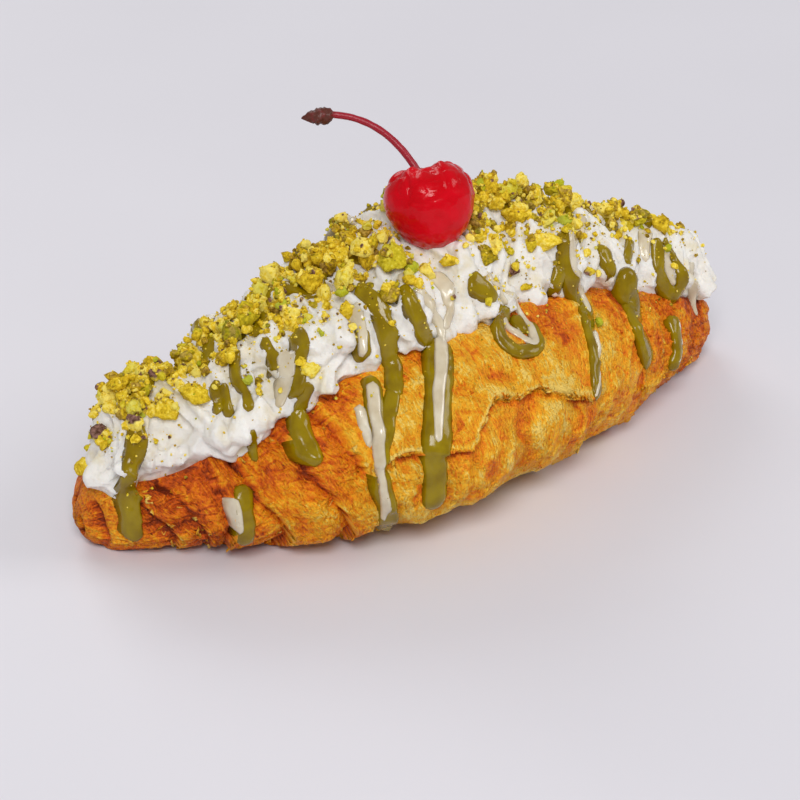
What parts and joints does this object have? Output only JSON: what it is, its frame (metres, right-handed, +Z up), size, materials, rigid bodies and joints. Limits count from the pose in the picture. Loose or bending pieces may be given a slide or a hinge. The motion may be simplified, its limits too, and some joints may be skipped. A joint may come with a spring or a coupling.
{
  "type": "filled croissant",
  "caption": "A butter croissant slit along its top and filled with piped whipped cream, topped with pistachio sauce, white sauce, chopped pistachios and a red cocktail cherry",
  "frame": {"origin": "centre of the bounding box's underside, on the surface that the croissant rests on", "axes": "+X along the croissant towards its right tip, -Y towards its bulging front, +Z up"},
  "size_m": [0.178, 0.0776, 0.0857],
  "materials": {
    "crust": "satin",
    "cream": "satin",
    "cherry": "gloss",
    "stem": "satin"
  },
  "bodies": {
    "root": {"croissant": "crust", "cream": "cream", "cherry": "cherry", "cherry_stem": "stem"}
  },
  "joints": []
}
